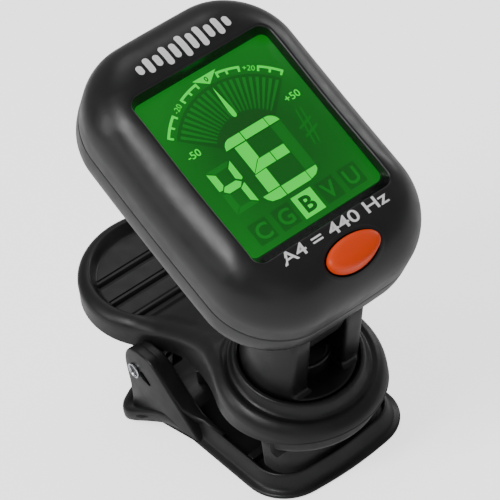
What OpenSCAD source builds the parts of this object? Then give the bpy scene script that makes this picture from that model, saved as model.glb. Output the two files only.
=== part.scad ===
// Clip-on tuner: a sprung two-lever clip that carries a display head
// on a turntable and a tilting knuckle.
// X is the width, +Y points to the thumb end, -Y to the jaw tip, +Z is up.
// It stands on Z = 0 on the edge of its jaw tip and the end of its handle.

/* [Head casing] */
// Width of the head
head_w = 36.2; // [36:0.1:38]
// Height of the head along the display
head_h = 50.8; // [50.4:0.1:53]
// Depth of the head, rear face to display face
head_d = 15.5; // [15.4:0.1:16.4]
// Corner radius of the head outline
head_r = 11; // [10:0.5:11.5]
// Wall thickness of the casings
wall = 2; // [1.8:0.1:2.2]
// Height of the split line between front casing and rear cover
split_h = 5; // [4.9:0.1:5.4]

/* [Display] */
// Width of the display recess
win_w = 25.5; // [24:0.1:26]
// Height of the display recess
win_h = 31.1; // [29:0.1:31.4]
// Depth of the recess down to the clear window
win_depth = 2.3; // [2:0.1:2.6]

/* [Power button] */
// Length of the oval button
button_l = 10; // [8:0.1:11]
// Width of the oval button
button_w = 5.2; // [4.5:0.1:5.6]
// Distance of the button below the display centre
button_y = 20.3; // [20:0.1:20.8]
// Gap between the button and its opening
button_gap = 0.2; // [0.15:0.05:0.3]

/* [Turntable and tilt] */
// Slope of the turntable against the jaws, in degrees
disc_angle = 13; // [11:0.5:15]
// Slope of the head against the jaws at rest, in degrees
head_angle = 28; // [24:0.5:32]
// Radius of the turntable disc
disc_r = 9.1; // [8.8:0.1:9.2]
// Height of the tilt axis above the disc
tilt_h = 11; // [10.5:0.1:11.5]
// Width of the knuckle between the two ears
knuckle_w = 6.6; // [6:0.1:7.2]
// Radius of the knuckle
knuckle_r = 5.6; // [5:0.1:5.8]
// Diameter of the tilt pin
tilt_pin_d = 2.5; // [2:0.1:3]

/* [Clip] */
// Width of the lower lever at the jaw
jaw_w = 28.4; // [28:0.1:30]
// Radius of the round front of the upper lever
front_r = 13.5; // [13.2:0.1:13.8]
// Radius of the round thumb pad
thumb_r = 14; // [13.6:0.1:14.2]
// Radius of the concave sides of the neck
neck_r = 26; // [24:0.5:28]
// Distance from the pivot line to the centre of the round front
front_y = 24.6; // [24.4:0.1:24.8]
// Distance from the pivot line to the centre of the thumb pad
thumb_y = 10.5; // [10.3:0.1:10.7]
// Height of the bottom edge of the upper lever
skirt_z = 11.1; // [11:0.1:11.3]
// Height of the side walls of the lower lever
tray_h = 3.4; // [3:0.1:3.8]
// Diameter of the clip pin
pin_d = 2.5; // [2.2:0.1:2.8]
// Radial running clearance on the clip pin
pin_clear = 0.05; // [0.02:0.01:0.08]
// Level at which the two jaw pads meet
pad_meet_z = 7.6; // [7.2:0.1:8]

/* [Hidden] */
$fn = 48;
eps = 0.01;
// clip pin axis, from the underside of the jaw
pin_y = 0.7;
pin_z = 6.1;
// slope of the thumb grips: lower handle down, upper pad up
grip_slope = 0.36;
// the clip rests on the edge of the jaw tip and on the end of the handle
tip_y = -34.6;
heel_y = 10.2;
heel_z = -2.8 - (heel_y + 2) * grip_slope;
rest_angle = atan2(-heel_z, heel_y - tip_y);
// shift along Y that puts the middle of the whole box over the origin
y_shift = 13.7272;
z_shift = -tip_y * sin(rest_angle);
// turntable centre
disc_y = -24.94;
disc_z = 17.95;
// level of the clear window, LCD and board inside the head
lens_top = head_d - win_depth;
lens_t = 1;
lcd_t = 1.8;
diff_t = 1.3;
pcb_z = 6.2;
pcb_t = 1.1;
// display centre and rear face seen from the tilt axis
tilt_to_disp = 18.05;
tilt_to_rear = 24.24 - head_d;
// where the concave neck circles touch both round ends
nk_d = front_y + thumb_y;
nk_a = (nk_d * nk_d + pow(front_r + neck_r, 2) - pow(thumb_r + neck_r, 2)) / (2 * nk_d);
nk_x = sqrt(pow(front_r + neck_r, 2) - nk_a * nk_a);
nk_y = -front_y + nk_a;
// screw posts of the head
post_x = 14.7;
post_y = 15;

// rounded rectangle from true arcs
module rr(w, h, r) {
    square([w - 2 * r, h], center = true);
    square([w, h - 2 * r], center = true);
    for (sx = [-1, 1], sy = [-1, 1])
        translate([sx * (w / 2 - r), sy * (h / 2 - r)]) circle(r);
}
// thin rounded-rectangle slice for a hull
module slice(z, inset, r0 = head_r) {
    translate([0, 0, z]) linear_extrude(eps)
        rr(head_w - 2 * inset, head_h - 2 * inset, max(1.2, r0 - inset), $fn = 32);
}
// oval outline
module oval(l, w) {
    polygon([for (i = [0:47]) [l / 2 * cos(i * 7.5), w / 2 * sin(i * 7.5)]]);
}
// local frames
module clip_place() { translate([0, y_shift, z_shift]) rotate([rest_angle, 0, 0]) children(); }
module disc_place() { clip_place() translate([0, disc_y, disc_z]) rotate([disc_angle, 0, 0]) children(); }
module tilt_place() {
    disc_place() translate([0, 0, tilt_h]) rotate([head_angle - disc_angle, 0, 0]) children();
}
module head_place() { tilt_place() translate([0, tilt_to_disp, tilt_to_rear]) children(); }
// cylinder along X
module xcyl(r, x0, x1) { translate([x0, 0, 0]) rotate([0, 90, 0]) cylinder(r = r, h = x1 - x0); }

// ---- lower lever ----------------------------------------------------
// points on an arc
function arc(cx, cy, r, a0, a1, n) = [for (i = [0:n]) let (a = a0 + (a1 - a0) * i / n) [cx + r * cos(a), cy + r * sin(a)]];
// outline of the lower lever in plan, moved in by o
corner_r = 7.5;
flare_w = 2.1;
module lower_plan(o = 0) {
    w = jaw_w / 2 - o;
    cx = jaw_w / 2 - corner_r;
    flare_a = acos((jaw_w / 2 + flare_w - o) / (25 - o));
    polygon(concat(
        arc(-cx, -27.7, corner_r - o, 180, 270, 10),
        [for (i = [1:7]) let (x = cx * (i / 4 - 1)) [x, -35.2 + o - 0.4 * (1 - x * x / cx / cx)]],
        arc(cx, -27.7, corner_r - o, 270, 360, 10),
        [[w, -9.5], [w + 0.3, -6.5], [w + 0.8, -3], [w + 1.4, 0.4], [w + flare_w, 3.2]],
        [for (q = arc(0, -14.4, 25 - o, flare_a, 180 - flare_a, 24)) [q[0], min(q[1], heel_y - o)]],
        [[-w - flare_w, 3.2], [-w - 1.4, 0.4], [-w - 0.8, -3], [-w - 0.3, -6.5], [-w, -9.5]]));
}
// side band of the lever between two heights above its underside
module lower_band(z0, z1) {
    translate([-30, 0, 0]) rotate([90, 0, 90]) linear_extrude(60)
        polygon([[-40, z0], [-10, z0], [-6.5, z0 - 0.9], [-2, z0 - 2.8], [14, z0 - 2.8 - 16 * grip_slope],
                 [14, z1 - 2.8 - 16 * grip_slope], [-2, z1 - 2.8], [-6.5, z1 - 0.9], [-10, z1], [-40, z1]]);
}
module lower_lever() {
    color([0.10, 0.10, 0.11]) clip_place() difference() {
        union() {
            // floor and handle
            intersection() {
                translate([0, 0, -12]) linear_extrude(20) lower_plan();
                lower_band(0, 1.9);
            }
            // side and front walls of the jaw
            linear_extrude(tray_h) difference() {
                lower_plan(0.6);
                lower_plan(2.2);
                translate([-40, -12]) square([80, 60]);
            }
            // low rim round the handle
            intersection() {
                translate([0, 0, -12]) linear_extrude(20) difference() {
                    lower_plan();
                    lower_plan(1.5);
                }
                lower_band(0, 2.7);
                translate([-40, 3, -12]) cube([80, 30, 20]);
            }
            // ears, sloping down to the jaw
            for (s = [0, 1]) mirror([s, 0, 0])
                translate([12.4, 0, 0]) rotate([90, 0, 90]) linear_extrude(1.8)
                    polygon([[-13.4, 0.3], [-13.2, 2.2], [-4.4, 10.5], [-3.8, 10.8], [-0.4, 10.8], [0.4, 10.3],
                             [2.5, 7.4], [2.9, 3], [3.4, -3], [2, -3.2], [-2, -1.8], [-6.5, 0.1]]);
            // ridge across the floor that holds the pad
            translate([-12.4, -25.4, 1]) cube([24.8, 1.3, 2.2]);
            // saddle under the spring
            for (s = [-1, 1]) translate([s * 4.6 - 0.5, -5.2, -1.4]) cube([1, 2.6, 3.6]);
        }
        // rounded underside of the jaw tip
        translate([-20, tip_y, 0]) rotate([-38, 0, 0]) translate([0, -4, -4]) cube([40, 4, 4]);
        // pin holes and keyhole slots
        translate([0, pin_y, pin_z]) xcyl(pin_d / 2 + 0.01, -20, 20);
        for (s = [-1, 1]) translate([s * 13.2, -3, pin_z]) {
            xcyl(0.65, -2, 2);
            translate([-2, 0, -0.45]) cube([4, 1.3, 0.9]);
        }
    }
}
module lower_pad() {
    color([0.07, 0.07, 0.07]) clip_place() difference() {
        translate([0, 0, 1.9]) linear_extrude(pad_meet_z - 0.1 - 1.9) intersection() {
            lower_plan(2.25);
            translate([-20, -45]) square([40, 45 - 25.45]);
        }
        // grip grooves
        for (i = [0:3]) translate([-20, -31.6 + i * 1.6, pad_meet_z - 0.8]) cube([40, 0.7, 2]);
    }
}
module clip_pin() {
    color([0.75, 0.76, 0.78]) clip_place() translate([0, pin_y, pin_z]) {
        xcyl(pin_d / 2, -14.5, 14.5);
    }
}
// spring: coil round the pin with two legs towards the thumb end
sp_r = 2.6;
sp_w = 0.45;
sp_turns = 6;
sp_steps = 14;
sp_len = 6.4;
function sp_coil(i) = let (a = -90 - 360 * i / sp_steps, t = i / sp_steps)
    [-sp_len / 2 + sp_len * t / sp_turns, sp_r * cos(a), sp_r * sin(a)];
sp_n = (sp_turns - 0.5) * sp_steps;
sp_end = -sp_len / 2 + sp_len * sp_n / sp_steps / sp_turns;
sp_path = concat([[-sp_len / 2, 8.4, -sp_r - 7.55], [-sp_len / 2, 2.2, -sp_r - 1]],
                 [for (i = [0:sp_n]) sp_coil(i)],
                 [[sp_end, 2.2, sp_r + 0.15], [sp_end, 8.4, sp_r + 0.65]]);
function unit(v) = v / norm(v);
function sp_tan(i) = unit(sp_path[min(i + 1, len(sp_path) - 1)] - sp_path[max(i - 1, 0)]);
module torsion_spring() {
    n = len(sp_path);
    m = 8;
    pts = [for (i = [0:n - 1]) let (t = sp_tan(i), u = unit(cross(t, [1, 0, 0])), v = cross(t, u))
           for (j = [0:m - 1]) sp_path[i] + sp_w * (cos(j * 360 / m) * u + sin(j * 360 / m) * v)];
    color([0.6, 0.61, 0.63]) clip_place() translate([0, pin_y, pin_z])
        polyhedron(points = pts, faces = concat(
            [[for (j = [0:m - 1]) j]],
            [[for (j = [m - 1:-1:0]) (n - 1) * m + j]],
            [for (i = [0:n - 2]) for (j = [0:m - 1])
                [i * m + j, (i + 1) * m + j, (i + 1) * m + (j + 1) % m, i * m + (j + 1) % m]]));
}

// ---- upper lever ----------------------------------------------------
// hourglass outline in plan, moved in by o
module upper_plan(o = 0) {
    t1 = atan2(nk_a, nk_x);
    t2 = atan2(nk_d - nk_a, nk_x);
    polygon(concat(
        arc(0, -front_y, front_r - o, 180 - t1, 360 + t1, 44),
        [for (i = [1:9]) arc(nk_x, nk_y, neck_r + o, 180 + t1, 180 - t2, 10)[i]],
        arc(0, thumb_y, thumb_r - o, -t2, 180 + t2, 44),
        [for (i = [1:9]) arc(-nk_x, nk_y, neck_r + o, t2, -t1, 10)[i]]));
}
// side profile of the upper lever, extruded across the width
module upper_side() {
    translate([-20, 0, 0]) rotate([90, 0, 90]) linear_extrude(40)
        polygon([[-40, skirt_z], [-8, skirt_z], [-4, 10.2], [0, 8.8], [3, 8.1], [26, 9.4],
                 [26, 14.2], [3, 13], [0, 13.4], [-4, 14.6], [-8, 16.1], [-12, 17.3], [-16, 17.4],
                 [-40, 17.4 - 24 * tan(disc_angle)]]);
}
// hollow under the neck and the thumb pad
module upper_hollow() {
    translate([-30, 0, 0]) rotate([90, 0, 90]) linear_extrude(60)
        polygon([[-15.2, 5], [26, 5], [26, 10.8], [3, 9.5], [1.5, 10], [0, 10.9], [-4, 12.4], [-8, 13.9], [-15.2, 14.4]]);
}
module turntable_place() { translate([0, disc_y, disc_z]) rotate([disc_angle, 0, 0]) children(); }
module upper_lever() {
    color([0.10, 0.10, 0.11]) clip_place() difference() {
        union() {
            difference() {
                intersection() {
                    linear_extrude(30) upper_plan();
                    upper_side();
                }
                intersection() {
                    linear_extrude(30) upper_plan(1.8);
                    upper_hollow();
                }
                // sunk thumb panel with a raised rim
                translate([0, thumb_y, 12.2]) rotate([3, 0, 0]) cylinder(r = 11.4, h = 6, $fn = 96);
            }
            // raised ring round the turntable
            intersection() {
                turntable_place() translate([0, 0, -7]) cylinder(r = 10.2, h = 7, $fn = 96);
                translate([-20, -50, skirt_z]) cube([40, 60, 20]);
            }
            // three grip steps across the thumb panel
            for (i = [0:2]) translate([-9.4 - (i == 1 ? 1 : 0), 5.4 + i * 4.8, 11.6 + i * 0.25]) cube([18.8 + (i == 1 ? 2 : 0), 1.2, 1.1]);
            // inner ears on the clip pin
            for (s = [0, 1]) mirror([s, 0, 0]) translate([6.6, 0, 0]) rotate([90, 0, 90]) linear_extrude(2) union() {
                translate([pin_y, pin_z]) circle(2.8);
                polygon([[pin_y - 2.8, pin_z], [pin_y + 2.8, pin_z], [5.4, 10.6], [-4.2, 13]]);
            }
        }
        // pad pocket
        translate([0, 0, skirt_z - 1]) linear_extrude(2) intersection() {
            polygon(arc(0, -front_y, front_r - 0.3, 180, 360, 40));
            translate([-20, -50]) square([40, 50 - 29.2]);
        }
        // turntable seat, bore and screw pocket
        turntable_place() {
            translate([0, 0, -2.2]) cylinder(r = disc_r + 0.25, h = 12, $fn = 96);
            translate([0, 0, -9]) cylinder(r = 3.05, h = 9);
            translate([0, 0, -14]) cylinder(r = 5.4, h = 14 - 4.4);
        }
        // pin bore
        translate([0, pin_y, pin_z]) xcyl(pin_d / 2 + pin_clear, -10, 10);
    }
}
module upper_pad() {
    color([0.07, 0.07, 0.07]) clip_place() difference() {
        translate([0, 0, pad_meet_z + 0.1]) linear_extrude(skirt_z + 1 - pad_meet_z - 0.1) intersection() {
            polygon(arc(0, -front_y, front_r - 0.35, 180, 360, 40));
            translate([-12.6, -50]) square([25.2, 50 - 29.25]);
        }
        for (i = [0:3]) translate([-20, -35.4 + i * 1.6, pad_meet_z - 1.2]) cube([40, 0.7, 2]);
    }
}

// ---- turntable ------------------------------------------------------
module swivel_base() {
    color([0.10, 0.10, 0.11]) disc_place() difference() {
        union() {
            translate([0, 0, -2.1]) cylinder(r = disc_r, h = 2.1, $fn = 96);
            translate([0, 0, -4.8]) cylinder(r = 3, h = 3.2);
            // two ears whose outer faces continue the disc
            intersection() {
                translate([0, 0, -1]) cylinder(r = disc_r, h = 30, $fn = 96);
                translate([-15, 0, 0]) rotate([90, 0, 90]) linear_extrude(30) union() {
                    translate([0, tilt_h]) circle(6.2);
                    translate([-6.2, -0.5]) square([12.4, tilt_h + 0.5]);
                }
            }
        }
        // gap for the knuckle
        translate([-knuckle_w / 2 - 0.15, -15, 1.2]) cube([knuckle_w + 0.3, 30, 30]);
        // tilt pin bore and screw bore
        translate([0, 0, tilt_h]) xcyl(tilt_pin_d / 2 + 0.01, -15, 15);
        translate([0, 0, -6]) cylinder(r = 1.5, h = 6);
    }
}
module swivel_screw() {
    color([0.72, 0.73, 0.75]) disc_place() difference() {
        union() {
            translate([0, 0, -6.4]) cylinder(r = 4.6, h = 1.55);
            translate([0, 0, -5]) cylinder(r = 1.46, h = 4.8);
        }
        translate([0, 0, -6.4]) cube([5, 0.8, 1.4], center = true);
        translate([0, 0, -6.4]) cube([0.8, 5, 1.4], center = true);
    }
}
module spring_washer() {
    color([0.8, 0.8, 0.82]) disc_place() translate([0, 0, -4.82]) difference() {
        cylinder(r = 5.1, h = 0.35);
        translate([0, 0, -1]) cylinder(r = 3.1, h = 3);
    }
}
module tilt_pin() {
    color([0.75, 0.76, 0.78]) tilt_place() xcyl(tilt_pin_d / 2, -8.8, 8.8);
}

// ---- head -----------------------------------------------------------
module posts(r, z0, z1) {
    for (sx = [-1, 1], sy = [-1, 1])
        translate([sx * post_x, sy * post_y, z0]) cylinder(r = r, h = z1 - z0);
}
module front_casing() {
    color([0.12, 0.12, 0.13]) head_place() difference() {
        union() {
            difference() {
                // broad soft crowned edge
                hull() {
                    slice(split_h, 0);
                    slice(head_d - 7, 0);
                    slice(head_d - 4.4, 0.45);
                    slice(head_d - 2.3, 1.8);
                    slice(head_d - 0.8, 4);
                    slice(head_d - eps, 6.6);
                }
                // inside
                translate([0, 0, split_h - 1]) linear_extrude(11 - split_h) rr(head_w - 2 * wall, head_h - 2 * wall, head_r - wall);
                translate([0, 0, 9.9]) linear_extrude(lens_top - 9.9) rr(head_w - 7.6, head_h - 7.6, head_r - 3.8);
            }
            // screw posts
            posts(1.9, split_h, 10);
        }
        // display opening
        translate([0, 0, 9]) linear_extrude(10) rr(win_w, win_h, 2.2);
        // button opening
        translate([0, -button_y, 9]) linear_extrude(10) oval(button_l + 2 * button_gap, button_w + 2 * button_gap);
        // screw bores
        posts(0.8, split_h - 1, 9.4);
    }
}
module rear_cover() {
    color([0.12, 0.12, 0.13]) head_place() difference() {
        union() {
            difference() {
                hull() {
                    slice(0, 1.2);
                    slice(0.45, 0.4);
                    slice(1.2, 0);
                    slice(split_h - eps, 0);
                }
                translate([0, 0, 2.8]) linear_extrude(5) rr(head_w - 2 * wall, head_h - 2 * wall, head_r - wall);
            }
            // screw posts
            posts(1.9, 2, split_h);
            // knuckle
            translate([0, -tilt_to_disp, -tilt_to_rear]) {
                xcyl(knuckle_r, -knuckle_w / 2, knuckle_w / 2);
                translate([-knuckle_w / 2, -knuckle_r, 0]) cube([knuckle_w, 2 * knuckle_r, tilt_to_rear + 0.5]);
                // wider root of the knuckle, above the ears
                translate([-knuckle_w / 2 - 1.6, -knuckle_r, tilt_to_rear - 0.9]) cube([knuckle_w + 3.2, 2 * knuckle_r, 1.2]);
            }
        }
        // tilt bore
        translate([0, -tilt_to_disp, -tilt_to_rear]) xcyl(tilt_pin_d / 2 + 0.05, -10, 10);
        // screw holes with sunk heads
        posts(0.95, -1, 7);
        posts(1.65, -1, 1.4);
        // battery chamber
        translate([0, 8, -1]) cylinder(r = 10.3, h = 8);
        // dovetail channel of the battery door, open at the top end
        translate([0, 40, 0]) rotate([90, 0, 0]) linear_extrude(43.6)
            polygon([[-10.9, -0.5], [10.9, -0.5], [10.9, 0], [11.6, 1.5], [-11.6, 1.5], [-10.9, 0]]);
    }
}
module battery_door() {
    color([0.12, 0.12, 0.13]) head_place() difference() {
        intersection() {
            translate([0, 40, 0]) rotate([90, 0, 0]) linear_extrude(43.4)
                polygon([[-10.75, 0.05], [10.75, 0.05], [11.4, 1.4], [-11.4, 1.4]]);
            hull() {
                slice(0, 1.2);
                slice(0.45, 0.4);
                slice(1.4, 0.1);
            }
        }
        // grip grooves
        for (i = [0:4]) translate([-5, 17 + i * 1.2, -0.4]) cube([10, 0.6, 0.8]);
    }
}
module lens_window() {
    color([0.75, 0.85, 0.78, 0.35]) head_place() translate([0, 0, lens_top - lens_t])
        linear_extrude(lens_t - 0.02) rr(win_w + 2, win_h + 2, 2.5);
}
module lcd_panel() {
    color([0.03, 0.5, 0.1]) head_place() translate([0, 0, lens_top - lens_t - 0.1 - lcd_t])
        linear_extrude(lcd_t) square([win_w + 1.6, win_h + 1.6], center = true);
}
module backlight_diffuser() {
    color([0.85, 0.95, 0.85]) head_place() translate([0, 0.9, lens_top - lens_t - 0.2 - lcd_t - diff_t])
        linear_extrude(diff_t) square([win_w - 1, win_h - 2.4], center = true);
}
module backlight_leds() {
    color([0.9, 0.95, 0.7]) head_place() for (s = [-1, 1])
        translate([s * 7 - 1.5, 12, pcb_z + pcb_t]) cube([3, 1.4, 1.1]);
}
module zebra_strip() {
    color([0.85, 0.55, 0.6]) head_place() translate([-11, -15.6, pcb_z + pcb_t])
        cube([22, 1.6, lens_top - lens_t - 0.1 - lcd_t - pcb_z - pcb_t]);
}
module circuit_board() {
    color([0.05, 0.35, 0.15]) head_place() translate([0, 0, pcb_z]) linear_extrude(pcb_t) difference() {
        rr(head_w - 5.4, head_h - 5.4, head_r - 2.7);
        for (sx = [-1, 1], sy = [-1, 1]) translate([sx * post_x, sy * post_y]) circle(2.3);
    }
}
module controller_chip() {
    color([0.05, 0.05, 0.05]) head_place() translate([-4, -4, pcb_z + pcb_t]) cube([8, 8, 1.1]);
}
module tact_switch() {
    color([0.7, 0.7, 0.72]) head_place() translate([0, -button_y, pcb_z + pcb_t]) {
        translate([-3, -1.8, 0]) cube([6, 3.6, 1.8]);
        translate([0, 0, 1.7]) cylinder(r = 1.2, h = 1.2);
    }
}
module piezo_disc() {
    color([0.8, 0.65, 0.3]) head_place() translate([0, -15, 2.82]) {
        cylinder(r = 6, h = 0.25);
        translate([0, 0, 0.25]) cylinder(r = 4.4, h = 0.25);
    }
}
module coin_cell() {
    color([0.78, 0.79, 0.8]) head_place() translate([0, 8, 1.52]) {
        cylinder(r = 10, h = 2.7);
        translate([0, 0, 2.7]) cylinder(r = 8.8, h = 0.5);
    }
}
module contact_plus() {
    color([0.8, 0.75, 0.5]) head_place() {
        translate([10.4, 4.5, 3]) cube([0.35, 7, 3.1]);
        translate([10.7, 4.5, 5.8]) cube([3, 7, 0.3]);
    }
}
module contact_minus() {
    color([0.8, 0.75, 0.5]) head_place() {
        translate([-3, 4, 5.8]) cube([6, 8, 0.3]);
        translate([-1.5, 6, 5.0]) cube([3, 0.4, 0.9]);
        translate([-1.5, 9.6, 5.0]) cube([3, 0.4, 0.9]);
        translate([-1.5, 6, 4.78]) cube([3, 4, 0.25]);
    }
}
module case_screws() {
    color([0.3, 0.3, 0.32]) head_place() for (sx = [-1, 1], sy = [-1, 1])
        translate([sx * post_x, sy * post_y, 0]) difference() {
            union() {
                translate([0, 0, 0.5]) cylinder(r = 1.45, h = 0.85);
                translate([0, 0, 0.5]) cylinder(r = 0.78, h = 8.4);
            }
            translate([0, 0, 0.5]) cube([2, 0.5, 0.7], center = true);
            translate([0, 0, 0.5]) cube([0.5, 2, 0.7], center = true);
        }
}
module power_button() {
    color([0.95, 0.36, 0.05]) head_place() translate([0, -button_y, 0]) {
        translate([0, 0, head_d - 3.6]) linear_extrude(3.65) oval(button_l, button_w);
        // crowned top
        translate([0, 0, head_d]) hull() {
            linear_extrude(0.1) oval(button_l, button_w);
            translate([0, 0, 0.45]) linear_extrude(0.1) oval(button_l - 0.9, button_w - 0.9);
            translate([0, 0, 0.8]) linear_extrude(0.1) oval(button_l - 3, button_w - 2.6);
        }
        // stem that reaches the switch
        translate([0, 0, 10.8]) cylinder(r = 1.5, h = 2);
    }
}

lower_lever();
lower_pad();
clip_pin();
torsion_spring();
upper_lever();
upper_pad();
swivel_base();
swivel_screw();
spring_washer();
tilt_pin();
front_casing();
rear_cover();
lens_window();
lcd_panel();
backlight_diffuser();
backlight_leds();
zebra_strip();
circuit_board();
controller_chip();
tact_switch();
piezo_disc();
coin_cell();
contact_plus();
contact_minus();
case_screws();
power_button();
battery_door();
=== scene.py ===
import bpy
import bmesh
import math
import numpy as np
from mathutils import Matrix, Vector
from mathutils.bvhtree import BVHTree


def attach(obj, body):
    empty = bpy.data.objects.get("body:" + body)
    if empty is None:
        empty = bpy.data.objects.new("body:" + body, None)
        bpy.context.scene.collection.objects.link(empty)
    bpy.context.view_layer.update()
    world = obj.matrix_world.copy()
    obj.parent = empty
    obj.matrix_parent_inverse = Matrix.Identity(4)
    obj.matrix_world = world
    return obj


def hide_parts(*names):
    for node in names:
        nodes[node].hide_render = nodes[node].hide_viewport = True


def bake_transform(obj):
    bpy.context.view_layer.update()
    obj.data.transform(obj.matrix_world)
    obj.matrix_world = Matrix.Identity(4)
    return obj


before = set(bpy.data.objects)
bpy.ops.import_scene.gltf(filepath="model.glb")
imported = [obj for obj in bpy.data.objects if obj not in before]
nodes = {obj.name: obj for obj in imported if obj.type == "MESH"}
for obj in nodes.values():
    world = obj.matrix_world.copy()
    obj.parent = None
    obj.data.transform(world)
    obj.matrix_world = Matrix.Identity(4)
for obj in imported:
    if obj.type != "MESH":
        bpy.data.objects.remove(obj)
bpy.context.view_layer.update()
scene = bpy.context.scene
PI = math.pi


# ------------------------------------------------------------ frames (mm)
def rx(a):
    a = math.radians(a)
    return np.array([[1, 0, 0], [0, math.cos(a), -math.sin(a)], [0, math.sin(a), math.cos(a)]])


def chain(f, rot, off):
    return (f[0] @ rot, f[1] + f[0] @ np.array(off, float))


ROW = (np.eye(3), np.zeros(3))
JAW = (rx(9.120202), np.array([0, 13.7272, 5.484315]))
DISC = chain(JAW, rx(13), (0, -24.94, 17.95))
TILT = chain(DISC, rx(15), (0, 0, 11))
HEAD = chain(TILT, rx(0), (0, 18.05, 8.74))
HD = 15.5


def to_row(f, v):
    return (np.asarray(v, float) @ f[0].T + f[1]) / 1000.0


# ------------------------------------------------------------ materials
def new_mat(name):
    m = bpy.data.materials.new(name)
    m.use_nodes = True
    nt = m.node_tree
    nt.nodes.clear()
    out = nt.nodes.new("ShaderNodeOutputMaterial")
    b = nt.nodes.new("ShaderNodeBsdfPrincipled")
    nt.links.new(b.outputs[0], out.inputs[0])
    return m, nt, b


def lin(c):
    return [x / 12.92 if x <= 0.04045 else ((x + 0.055) / 1.055) ** 2.4 for x in c]


def surface(name, rgb, rough=0.4, rvar=0.08, grain=2600.0, bump=0.08, dist=0.00002, cvar=0.12,
            metal=0.0, coat=0.0, spec=0.5, aniso=None, scratch=0.0, sheen=0.0):
    """Procedural finish: fine grain, broad colour change, roughness patches, faint scratches."""
    m, nt, b = new_mat(name)
    N, L = nt.nodes, nt.links
    tc = N.new("ShaderNodeTexCoord")
    src = tc.outputs["Object"]
    if aniso:
        mp = N.new("ShaderNodeMapping")
        mp.inputs["Scale"].default_value = aniso
        L.new(src, mp.inputs["Vector"])
        src = mp.outputs[0]
    fine = N.new("ShaderNodeTexNoise")
    fine.inputs["Scale"].default_value = grain
    fine.inputs["Detail"].default_value = 3
    L.new(src, fine.inputs["Vector"])
    broad = N.new("ShaderNodeTexNoise")
    broad.inputs["Scale"].default_value = 75
    broad.inputs["Detail"].default_value = 4
    L.new(tc.outputs["Object"], broad.inputs["Vector"])
    ramp = N.new("ShaderNodeValToRGB")
    c = lin(rgb)
    ramp.color_ramp.elements[0].position = 0.3
    ramp.color_ramp.elements[1].position = 0.72
    ramp.color_ramp.elements[0].color = [x * (1 - cvar) for x in c] + [1]
    ramp.color_ramp.elements[1].color = [min(1, x * (1 + cvar)) for x in c] + [1]
    L.new(broad.outputs["Fac"], ramp.inputs["Fac"])
    L.new(ramp.outputs["Color"], b.inputs["Base Color"])
    mr = N.new("ShaderNodeMapRange")
    mr.inputs["From Min"].default_value = 0.3
    mr.inputs["From Max"].default_value = 0.7
    mr.inputs["To Min"].default_value = rough - rvar
    mr.inputs["To Max"].default_value = rough + rvar
    mid = N.new("ShaderNodeTexNoise")
    mid.inputs["Scale"].default_value = 420
    mid.inputs["Detail"].default_value = 5
    L.new(tc.outputs["Object"], mid.inputs["Vector"])
    L.new(mid.outputs["Fac"], mr.inputs["Value"])
    L.new(mr.outputs["Result"], b.inputs["Roughness"])
    bp = N.new("ShaderNodeBump")
    bp.inputs["Strength"].default_value = bump
    bp.inputs["Distance"].default_value = dist
    L.new(fine.outputs["Fac"], bp.inputs["Height"])
    last = bp
    if scratch:
        sm = N.new("ShaderNodeMapping")
        sm.inputs["Scale"].default_value = (60, 1400, 240)
        sm.inputs["Rotation"].default_value = (0.3, 0.2, 0.7)
        L.new(tc.outputs["Object"], sm.inputs["Vector"])
        sn = N.new("ShaderNodeTexNoise")
        sn.inputs["Scale"].default_value = 1.0
        sn.inputs["Detail"].default_value = 2
        L.new(sm.outputs[0], sn.inputs["Vector"])
        b2 = N.new("ShaderNodeBump")
        b2.inputs["Strength"].default_value = scratch
        b2.inputs["Distance"].default_value = 0.00001
        L.new(sn.outputs["Fac"], b2.inputs["Height"])
        L.new(bp.outputs[0], b2.inputs["Normal"])
        last = b2
    L.new(last.outputs[0], b.inputs["Normal"])
    b.inputs["Metallic"].default_value = metal
    b.inputs["Specular IOR Level"].default_value = spec
    if coat:
        b.inputs["Coat Weight"].default_value = coat
        b.inputs["Coat Roughness"].default_value = 0.12
    if sheen:
        b.inputs["Sheen Weight"].default_value = sheen
    return m


M_CASE = surface("casing_satin", (0.092, 0.092, 0.097), spec=0.42, rough=0.34, rvar=0.05, grain=3800, bump=0.1, cvar=0.1, scratch=0.02)
M_RECESS = surface("recess_gloss", (0.06, 0.055, 0.065), rough=0.22, rvar=0.04, bump=0.03, cvar=0.1)
M_CLIP = surface("clip_satin", (0.085, 0.085, 0.09), spec=0.36, rough=0.38, rvar=0.06, grain=3000, bump=0.08, cvar=0.15, scratch=0.03)
M_TURN = surface("turntable_satin", (0.05, 0.05, 0.054), spec=0.32, rough=0.32, rvar=0.05, grain=3200, bump=0.08, cvar=0.12)
M_RUB = surface("pad_rubber", (0.105, 0.105, 0.107), rough=0.68, rvar=0.08, grain=1800, bump=0.35, dist=0.00005, cvar=0.2, sheen=0.2)
M_PIN = surface("pin_polished", (0.82, 0.83, 0.85), rough=0.16, rvar=0.06, grain=900, bump=0.05, cvar=0.06, metal=1.0, aniso=(1, 9, 9))
M_SPRING = surface("spring_wire", (0.13, 0.13, 0.135), rough=0.38, rvar=0.08, grain=1500, bump=0.1, metal=0.6)
M_SCREW = surface("screw_black_zinc", (0.30, 0.30, 0.32), rough=0.36, rvar=0.08, grain=1600, bump=0.1, metal=1.0)
M_BTN = surface("button_orange", (0.90, 0.26, 0.015), spec=0.3, rough=0.42, rvar=0.05, grain=3600, bump=0.1, cvar=0.06)
# near-black for painted shade: flat dark sheets where real openings would hold shadow (button gap, ear slots)
M_PAINTED_SHADE = surface("painted_shade_dark", (0.018, 0.018, 0.018), spec=0.03, rough=0.7, rvar=0.05, bump=0.05)
M_INK = surface("print_white", (0.93, 0.93, 0.93), rough=0.5, rvar=0.05, grain=3000, bump=0.05, cvar=0.03)
M_DOOR = surface("door_satin", (0.09, 0.09, 0.095), rough=0.4, rvar=0.06, grain=3000, bump=0.14, cvar=0.12)
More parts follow.
